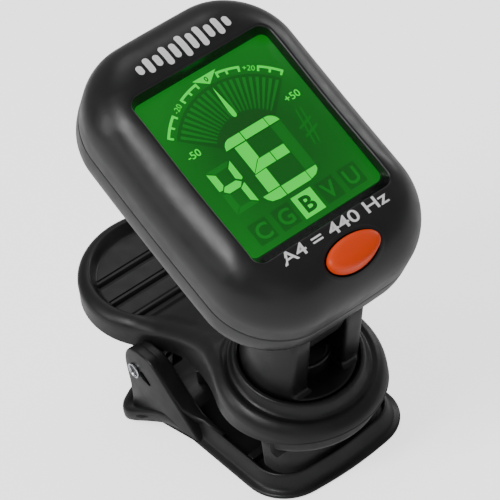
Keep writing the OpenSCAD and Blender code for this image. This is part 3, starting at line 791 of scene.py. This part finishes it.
def upper_inset(o):
    """Inset of the border loop, exact on each of the three arcs."""
    x, y = loop2[:, 0], loop2[:, 1]
    out = loop2.copy()
    m = y <= Y1
    v = np.stack([x, y + FY], 1)
    out[m] = (v * ((FR - o) / FR) + np.array([0, -FY]))[m]
    m = y >= Y2
    v = np.stack([x, y - TY], 1)
    out[m] = (v * ((TR - o) / TR) + np.array([0, TY]))[m]
    m = (y > Y1) & (y < Y2)
    cx = np.sign(x) * NX
    v = np.stack([x - cx, y - NY], 1)
    out[m] = (v * ((NR + o) / NR) + np.stack([cx, np.full(len(x), NY)], 1))[m]
    return out


yl = loop2[:, 1]
sk = zsk(yl)
ce = np.maximum(ceil_(yl), sk + 0.02)
rg = [ring3(loop2, loopz)]
for s in (0.12, 0.5, 0.8):
    rg.append(ring3(upper_inset(0.0), loopz * (1 - s) + (sk + 0.25) * s))
rg += [ring3(upper_inset(-0.05), sk + 0.3), ring3(upper_inset(-0.06), sk + 0.12), ring3(upper_inset(0.06), sk), ring3(upper_inset(1.5), sk),
       ring3(upper_inset(1.68), sk + np.minimum(0.15, (ce - sk) * 0.3)), ring3(upper_inset(1.8), sk + (ce - sk) * 0.7), ring3(upper_inset(1.95), ce)]
skirt = loft(rg, cap0=False, cap1=False)
# ceiling: a ladder between the two sides
last = rg[-1]
nrow = len(ys)
left = last[:nrow]
right = np.vstack([last[0:1], last[nrow:][::-1], last[nrow - 1:nrow]])
CP = []
m_ = 24
for i in range(nrow):
    for j in range(m_ + 1):
        s = j / m_
        CP.append(left[i] * (1 - s) + right[i] * s)
CF = [(i * (m_ + 1) + j, (i + 1) * (m_ + 1) + j, (i + 1) * (m_ + 1) + j + 1, i * (m_ + 1) + j + 1) for i in range(nrow - 1) for j in range(m_)]
ear_in = []
for s in (-1, 1):
    poly = [(0.7 + 2.8 * math.cos(math.radians(a)), 6.1 + 2.8 * math.sin(math.radians(a))) for a in range(180, 361, 12)]
    poly += [(4.6, 10.3), (0.5, 11.6), (-4.2, 13.2)]
    x0, x1 = sorted((s * 6.6, s * 8.6))
    ear_in.append(rounded_prism(poly, x0, x1, edge=0.2, n=90, passes=1))
make("upper_lever_shell", *join(top_part, skirt, (np.array(CP), CF)), JAW, "upper_clip", M_CLIP, "lever_plastic", ("upper_lever",), sharp=46)
make("upper_lever_lugs", *join(*ear_in), JAW, "upper_clip", M_CLIP, "lever_plastic", sharp=46)


# ------------------------------------------------------------ lower lever
def half_outline():
    w, cr = 14.2, 7.5
    cx = w - cr
    p = [(x, -35.6 + 0.4 * (x / cx) ** 2) for x in np.linspace(0, cx, 12)[:-1]]
    p += [(cx + cr * math.cos(math.radians(a)), -27.7 + cr * math.sin(math.radians(a))) for a in np.linspace(270, 360, 24)]
    p += [(w, y) for y in np.linspace(-27, -10, 18)[1:]]
    p += [(w + 0.25, -6.5), (w + 0.75, -3), (w + 1.45, 0.4), (w + 1.95, 2.2), (w + 2.1, 3.4)]
    fa = math.degrees(math.acos((w + 2.0) / 25.0))
    p += [(25 * math.cos(math.radians(a)), min(-14.4 + 25 * math.sin(math.radians(a)), 10.15)) for a in np.linspace(fa + 3, 90, 30)]
    q = np.array(p)
    s = np.concatenate([[0], np.cumsum(np.linalg.norm(np.diff(q, axis=0), axis=1))])
    u = np.linspace(0, s[-1], 220)
    r = np.stack([np.interp(u, s, q[:, 0]), np.interp(u, s, q[:, 1])], 1)
    full = np.vstack([r, (r * np.array([-1, 1]))[::-1][1:-1]])
    for _ in range(14):
        full = 0.25 * np.roll(full, 1, 0) + 0.5 * full + 0.25 * np.roll(full, -1, 0)
    return full


LO = half_outline()
K = 220
base_z = smooth_curve([-45, -10, -6.5, -2, 1, 3.4, 6, 8, 10.2, 14], [0, 0, -0.95, -3.3, -4.85, -5.8, -6.4, -6.75, -7.1, -7.8], 1.4)


def lower_ring(o, hj, hh):
    p = inset_poly(LO, o)
    j = 1 - sstep(-11.5, -4.0, p[:, 1])
    return ring3(p, base_z(p[:, 1]) + hj * j + hh * (1 - j))


prof = [(0.7, 0.0, 0.0), (0.2, 0.03, 0.1), (0.05, 0.12, 0.4), (0.0, 0.28, 1.3), (0.03, 0.45, 1.8), (0.12, 0.58, 2.15), (0.35, 0.70, 2.35), (0.85, 0.82, 2.42), (1.02, 0.95, 2.42),
        (1.25, 1.30, 2.40), (1.5, 1.9, 2.34), (1.72, 2.6, 2.26), (1.9, 3.1, 2.18), (2.02, 3.32, 2.12), (2.16, 3.4, 2.06), (2.32, 3.38, 2.0), (2.46, 3.2, 1.97), (2.54, 2.7, 1.95),
        (2.6, 2.1, 1.93), (2.8, 1.93, 1.9), (3.2, 1.9, 1.9)]
lr = [lower_ring(*q) for q in prof]
low_body = loft(lr, cap0=False, cap1=False)


def ladder(ring, m=28, flip=False):
    a = ring[:K]
    b = np.vstack([ring[0:1], ring[K:][::-1], ring[K - 1:K]])
    V = [a[i] * (1 - j / m) + b[i] * (j / m) for i in range(K) for j in range(m + 1)]
    F = [(i * (m + 1) + j, (i + 1) * (m + 1) + j, (i + 1) * (m + 1) + j + 1, i * (m + 1) + j + 1) for i in range(K - 1) for j in range(m)]
    return np.array(V), F


ears = []
epoly = [(-15.0, 0.45), (-14.5, 1.0), (-12.2, 3.2), (-9.2, 6.1), (-6.3, 8.95), (-5.0, 10.2), (-4.2, 10.8), (-3.2, 11.05), (-0.6, 11.05), (1.1, 10.5), (2.35, 9.5), (3.05, 8.1),
         (3.3, 6.4), (3.2, 4.4), (3.0, 2.2), (3.0, -0.6), (3.4, -4.3), (1.4, -4.0), (-2.0, -2.4), (-6.5, 0.0), (-13.0, 0.4)]
for s in (-1, 1):
    x0, x1 = sorted((s * 12.35, s * 14.2))
    v, f = rounded_prism(epoly, x0, x1, edge=0.32, n=220, passes=5)
    v = v.copy()
    # the ear leans a little outwards at its foot to meet the flare
    foot = np.clip((3.8 - v[:, 2]) / 7.0, 0, 1) * np.clip((v[:, 1] + 9) / 8, 0, 1)
    foot = foot * (1 - 0.75 * np.clip((v[:, 1] - 0.2) / 2.6, 0, 1))
    v[:, 0] += s * 1.9 * foot ** 2
    ears.append((v, f))
    # thick front band of the ear, running out into the tray wall
    bl = [(2.3, 8.9, 8.1, 2.6), (1.9, 9.5, 8.6, 3.0), (1.0, 10.3, 9.3, 3.1), (-0.4, 10.9, 9.9, 3.1), (-1.8, 11.0, 10.0, 3.1), (-3.2, 10.98, 10.0, 3.1), (-4.3, 10.68, 9.6, 3.1), (-5.2, 10.05, 8.8, 3.1),
          (-6.6, 8.7, 7.4, 3.1), (-8.6, 6.8, 5.5, 3.0), (-10.6, 5.0, 3.7, 2.8), (-12.2, 3.98, 2.7, 2.5), (-13.8, 3.62, 2.2, 2.2), (-16.0, 3.46, 2.0, 2.0), (-18.4, 3.38, 1.9, 1.9)]
    br = []
    for yb, zt, zb, wd_ in bl:
        xo = 14.05 - 1.9 * float(sstep(9.6, 14.6, -yb))
        xi = min(xo - 0.9, 10.95 + 0.3 * float(sstep(9.6, 18.4, -yb)))
        q = [(xi, zb), (xo, zb), (xo, zt - 0.25), (xo - 0.2, zt), (xi + 0.2, zt), (xi, zt - 0.25)]
        q = soften(q, 40, 1)
        br.append(np.array([(s * a, yb, b) for a, b in q]))
    ears.append(loft(br))
low = make("lower_lever_body", *join(low_body, ladder(lr[-1]), ladder(lr[0])), JAW, "lower_clip", M_CLIP, "lever_plastic", ("lower_lever",), sharp=50)
make("lower_lever_ears", *join(*ears), JAW, "lower_clip", M_CLIP, "lever_plastic", sharp=46)
# ridge that holds the pad and the spring saddle
rid = [rounded_prism([(-25.4, 1.0), (-25.4, 3.1), (-24.1, 3.1), (-24.1, 1.0)], -11.6, 11.6, edge=0.25, n=60, passes=1)]
for s in (-1, 1):
    x0 = s * 4.6
    rid.append(rounded_prism([(-5.2, -1.4), (-5.2, 2.0), (-3.9, 2.4), (-2.6, 1.6), (-2.6, -1.8)], x0 - 0.5, x0 + 0.5, edge=0.15, n=60, passes=1))
make("lower_lever_ridges", *join(*rid), JAW, "lower_clip", M_CLIP, "lever_plastic", sharp=46)
# keyhole slot beside the pin on both ears, drawn as a thin dark plate: painted shade in place of a cut opening
slots = []
for s in (-1, 1):
    kp2 = [(-1.0, 6.95), (-1.45, 6.9), (-2.4, 6.1), (-3.2, 5.35), (-3.15, 5.15), (-2.4, 5.25), (-1.35, 5.5), (-1.0, 5.9)]
    x0, x1 = sorted((s * 13.9, s * 14.34))
    slots.append(rounded_prism(kp2, x0, x1, edge=0.02, n=60, passes=1, steps=1))
make("ear_slots_painted_shade", *join(*slots), JAW, "lower_clip", M_PAINTED_SHADE, "lever_plastic", sharp=46)


# ------------------------------------------------------------ jaw pads
def pad_outline(front, back, n=160):
    p = soften(front + back, n, 3)
    return p


lp = [(q[0], q[1]) for q in inset_poly(LO, 3.1) if q[1] < -25.6]
lp.sort(key=lambda q: math.atan2(q[1] + 25.6, q[0]))
lp = soften([(x * 0.93, y) for x, y in lp], 180, 16)
gz = 7.5
ring_lp = [ring3(inset_poly(lp, o), z) for o, z in ((0.0, 1.9), (0.0, 6.6), (0.1, 7.0), (0.35, 7.3), (0.8, 7.48), (1.3, 7.5))]
make("lower_pad_soft", *loft(ring_lp), JAW, "lower_clip", M_RUB, "rubber_pad", ("lower_pad",), sharp=40)
up = [(13.1 * math.cos(math.radians(a)), -24.6 + 13.1 * math.sin(math.radians(a))) for a in range(200, 341, 4)]
up = soften([(max(-12.5, min(12.5, x)), y) for x, y in up] + [(12.3, -29.25), (-12.3, -29.25)], 180, 16)
ring_up = [ring3(inset_poly(up, o), z) for o, z in ((2.3, 7.7), (1.8, 7.74), (1.35, 7.95), (1.12, 8.3), (1.05, 8.7), (1.05, 12.0))]
make("upper_pad_soft", *loft(ring_up), JAW, "upper_clip", M_RUB, "rubber_pad", ("upper_pad",), sharp=40)

# ------------------------------------------------------------ pins and spring
half = [(0.0, -14.2), (0.94, -14.2), (0.96, -14.26), (0.98, -14.45), (1.06, -14.6), (1.2, -14.66), (1.32, -14.6), (1.38, -14.45), (1.34, -14.28), (1.25, -14.2)]
prof2 = half + [(r, -x) for r, x in half[::-1]]
make("clip_pin_rivet", *lathe(prof2, "x", 56, (0, 0.7, 6.1)), JAW, "lower_clip", M_PIN, "pin_steel", ("clip_pin",), sharp=40)
# dark caps in the hollow ends of the pin rivet, in the turntable plastic rather than steel: painted shade inside the
# hollow
cores = [lathe([(0.0, -0.1), (0.96, -0.1), (0.98, 0.0), (0.6, 0.12), (0.0, 0.16)], "x", 40, (s * 14.27, 0.7, 6.1)) for s in (-1, 1)]
make("clip_pin_core_painted_shade", *join(*cores), JAW, "lower_clip", M_TURN, "pin_steel", sharp=40)
half = [(0.0, -8.72), (0.95, -8.72), (1.15, -8.66), (1.25, -8.5)]
make("tilt_pin_rod", *lathe(half + [(r, -x) for r, x in half[::-1]], "x", 48), TILT, "turntable", M_PIN, "pin_steel", ("tilt_pin",), sharp=40)
sp = [(-3.2, 8.4, -10.15), (-3.2, 5.3, -6.9), (-3.2, 2.2, -3.65), (-3.2, 1.1, -2.95)]
for i in range(0, 199):
    a = math.radians(-90 - 10 * i)
    sp.append((-3.2 + 6.4 * (i / 36) / 6, 2.6 * math.cos(a), 2.6 * math.sin(a)))
xe = sp[-1][0]
sp += [(xe, 1.1, 2.66), (xe, 2.2, 2.75), (xe, 5.3, 3.0), (xe, 8.4, 3.25)]
sp = np.array(sp) + np.array([0, 0.7, 6.1])
tg = np.gradient(sp, axis=0)
tg /= np.linalg.norm(tg, axis=1)[:, None]
rings = []
for p, t in zip(sp, tg):
    u = np.cross(t, [1, 0, 0])
    u /= np.linalg.norm(u)
    w = np.cross(t, u)
    a = np.arange(14) * 2 * PI / 14
    rings.append(p + 0.45 * (np.cos(a)[:, None] * u + np.sin(a)[:, None] * w))
spring = make("spring_wire", *loft(rings), JAW, None, M_SPRING, "spring_steel", ("torsion_spring",), sharp=60)
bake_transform(spring)

# ------------------------------------------------------------ turntable
disc = lathe([(0, -2.05), (8.85, -2.05), (9.08, -1.85), (9.08, -0.4), (9.02, -0.2), (8.86, -0.05), (8.65, 0.0), (0, 0.0)], n=128)
stem = lathe([(0, -4.75), (2.9, -4.75), (3.0, -4.65), (3.0, -2.0), (0, -2.0)], n=48)


def ear_section(Yh, xi, n=90):
    a1 = math.asin(min(0.999, Yh / 9.08))
    p = [(xi, -Yh)] + [(9.06 * math.cos(a), 9.06 * math.sin(a)) for a in np.linspace(-a1, a1, 30)] + [(xi, Yh)]
    return soften(p, n, 2)


boss = lathe([(0, -0.2), (5.0, -0.2), (5.0, 2.2), (4.94, 2.42), (4.78, 2.55), (4.6, 2.55), (4.46, 2.42), (4.4, 2.2), (4.3, 1.5), (4.0, 1.3), (0, 1.3)], n=96)
turn = [disc, stem, boss]
for s in (-1, 1):
    rg = []
    for z, Yh, g in ((-0.3, 7.0, 0.55), (0.0, 7.0, 0.5), (0.12, 6.72, 0.32), (0.35, 6.42, 0.12), (0.7, 6.22, 0.0), (1.5, 6.2, 0), (6, 6.2, 0), (9, 6.2, 0), (10, 6.2, 0), (11, 6.2, 0)):
        rg.append((z, Yh, g))
    for a in range(6, 85, 6):
        rg.append((11 + 6.2 * math.sin(math.radians(a)), 6.2 * math.cos(math.radians(a)), 0.25 * sstep(50, 85, a)))
    rl = []
    for z, Yh, g in rg:
        sec = ear_section(max(Yh, 0.5), 3.45 - g if z < 1 else 3.45 + g)
        if z > 11:
            sec = sec if g == 0 else np.stack([np.clip(sec[:, 0], 3.45 + g, 9.06 - g), sec[:, 1]], 1)
        rl.append(np.stack([s * sec[:, 0], sec[:, 1], np.full(len(sec), z)], 1))
    turn.append(loft(rl))
make("turntable_body", *join(*turn), DISC, "turntable", M_TURN, "turntable_plastic", ("swivel_base",), sharp=42)

# ------------------------------------------------------------ cut the door channel and screw wells in the rear shell
back = bpy.data.objects["rear_shell"]


def cutter(verts, faces):
    me = bpy.data.meshes.new("cut")
    me.from_pydata(to_row(HEAD, verts).tolist(), [], [list(q) for q in faces])
    b = bmesh.new()
    b.from_mesh(me)
    bmesh.ops.recalc_face_normals(b, faces=b.faces)
    b.to_mesh(me)
    b.free()
    o = bpy.data.objects.new("cut", me)
    scene.collection.objects.link(o)
    return o


tr = [(-10.9, -0.6), (10.9, -0.6), (10.9, 0.0), (11.6, 1.5), (-11.6, 1.5), (-10.9, 0.0)]
chan = loft([np.array([(x, -3.6, z) for x, z in tr]), np.array([(x, 40.0, z) for x, z in tr])])
wells = [lathe([(0, -1), (1.65, -1), (1.65, 1.4), (0, 1.4)], n=40, centre=(sx * 14.7, sy * 15.0, 0)) for sx in (-1, 1) for sy in (-1, 1)]
cham = lathe([(0, 1.0), (10.3, 1.0), (10.3, 4.6), (0, 4.6)], n=72, centre=(0, 8.0, 0))
for part in [chan, cham] + wells:
    cu = cutter(*part)
    md = back.modifiers.new("cut", "BOOLEAN")
    md.operation = "DIFFERENCE"
    md.solver = "EXACT"
    md.object = cu
    dg = bpy.context.evaluated_depsgraph_get()
    me = bpy.data.meshes.new_from_object(back.evaluated_get(dg))
    back.modifiers.clear()
    old = back.data
    back.data = me
    bpy.data.meshes.remove(old)
    bpy.data.objects.remove(cu)
for p in back.data.polygons:
    p.use_smooth = True
back.data.set_sharp_from_angle(angle=math.radians(40))

# ------------------------------------------------------------ floor, light, camera
def plane(name, size, z, mat, centre=(0, 0)):
    me = bpy.data.meshes.new(name)
    s = size / 2
    me.from_pydata([(centre[0] - s, centre[1] - s, z), (centre[0] + s, centre[1] - s, z), (centre[0] + s, centre[1] + s, z), (centre[0] - s, centre[1] + s, z)], [], [(0, 1, 2, 3)])
    me.materials.append(mat)
    o = bpy.data.objects.new(name, me)
    scene.collection.objects.link(o)
    return o


fm, fnt, fb = new_mat("floor_pale")
tc = fnt.nodes.new("ShaderNodeTexCoord")
nz = fnt.nodes.new("ShaderNodeTexNoise")
nz.inputs["Scale"].default_value = 6
fnt.links.new(tc.outputs["Object"], nz.inputs["Vector"])
fr_ = fnt.nodes.new("ShaderNodeValToRGB")
fr_.color_ramp.elements[0].color = (0.86, 0.86, 0.86, 1)
fr_.color_ramp.elements[1].color = (0.90, 0.90, 0.90, 1)
fnt.links.new(nz.outputs["Fac"], fr_.inputs["Fac"])
fnt.links.new(fr_.outputs["Color"], fb.inputs["Base Color"])
fb.inputs["Roughness"].default_value = 0.9
fnt.links.new(fr_.outputs["Color"], fb.inputs["Emission Color"])
lp_ = fnt.nodes.new("ShaderNodeLightPath")
em = fnt.nodes.new("ShaderNodeMapRange")
em.inputs["To Min"].default_value = 0.25
em.inputs["To Max"].default_value = 1.9
fnt.links.new(lp_.outputs["Is Camera Ray"], em.inputs["Value"])
fnt.links.new(em.outputs["Result"], fb.inputs["Emission Strength"])
fb.inputs["Specular IOR Level"].default_value = 0.1
floor = plane("floor", 6.0, -0.0002, fm)

wd = bpy.data.worlds.new("studio")
scene.world = wd
wd.use_nodes = True
bg = wd.node_tree.nodes["Background"]
bg.inputs["Color"].default_value = (1, 1, 1, 1)
bg.inputs["Strength"].default_value = 0.30


def area(name, direction, dist, size, power, size_y=None):
    li = bpy.data.lights.new(name, "AREA")
    li.shape = "RECTANGLE"
    li.size = size
    li.size_y = size_y or size
    li.energy = power
    o = bpy.data.objects.new(name, li)
    scene.collection.objects.link(o)
    c = Vector((0, -0.005, 0.04))
    d = Vector(direction).normalized()
    o.location = c + d * dist
    o.rotation_euler = (-d).to_track_quat("-Z", "Y").to_euler()
    return o


area("key", (-0.66, -0.12, 0.74), 0.55, 0.15, 1.85, 0.30)
area("top", (0.25, 0.45, 0.88), 0.6, 0.30, 0.4)
area("right_rim", (0.9, 0.1, 0.40), 0.5, 0.12, 0.45, 0.3)
area("left_back", (-0.88, 0.35, 0.42), 0.55, 0.14, 0.55, 0.3)
area("front_low", (-0.35, -0.9, 0.18), 0.6, 0.3, 0.12)

R0 = np.array(to_row(HEAD, (0, 0, HD)))
B = HEAD[0]
M = np.array([[0.770012900465814, -0.6063838522665236, 0.19844081441738545],
              [-0.486134929440544, -0.7590348532831224, -0.43305764267509045],
              [0.4132226560754645, 0.2369909601902148, -0.8792510001666523]])
T = np.array([1.6532176736552973, -15.548324814238919, 355.00891109404404]) / 1000.0
loc = R0 + B @ (-M.T @ T)
right, upv, backv = B @ M[0], -(B @ M[1]), -(B @ M[2])
cd = bpy.data.cameras.new("camera")
cd.lens = 180
cd.sensor_width = 36
cam = bpy.data.objects.new("camera", cd)
scene.collection.objects.link(cam)
mw = Matrix.Identity(4)
for i in range(3):
    mw[i][0], mw[i][1], mw[i][2], mw[i][3] = right[i], upv[i], backv[i], loc[i]
cam.matrix_world = mw
cd.clip_start, cd.clip_end = 0.01, 20
scene.camera = cam

bpy.context.view_layer.update()
